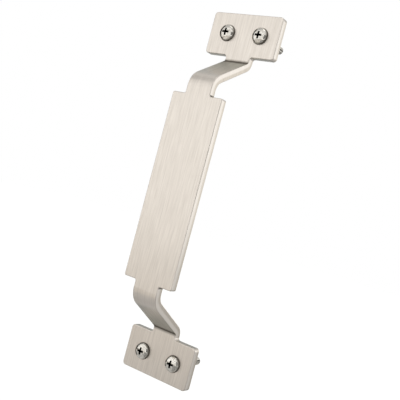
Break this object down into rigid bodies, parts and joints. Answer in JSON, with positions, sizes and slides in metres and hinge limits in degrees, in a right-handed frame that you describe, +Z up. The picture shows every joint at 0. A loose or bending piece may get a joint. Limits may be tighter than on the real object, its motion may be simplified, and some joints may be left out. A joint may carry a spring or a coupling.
{
  "type": "barn door pull handle",
  "caption": "Bent flat steel door pull: a wide grip held off the door by sloped narrow necks between rectangular screw-down plates, in brushed nickel with domed cross-recess screws.",
  "frame": {"origin": "on the door's face, midway between the four screws", "axes": "+X to the right seen from the front, +Y into the door along the screws, +Z up along the handle"},
  "size_m": [0.046, 0.0559, 0.216],
  "materials": {
    "brushed_nickel": "satin nickel plating on steel, brushed along the length of the handle",
    "bright_nickel": "bright nickel plating on steel screws"
  },
  "bodies": {
    "root": {"pull_strap": "brushed_nickel", "mounting_screws": "bright_nickel"}
  },
  "joints": []
}
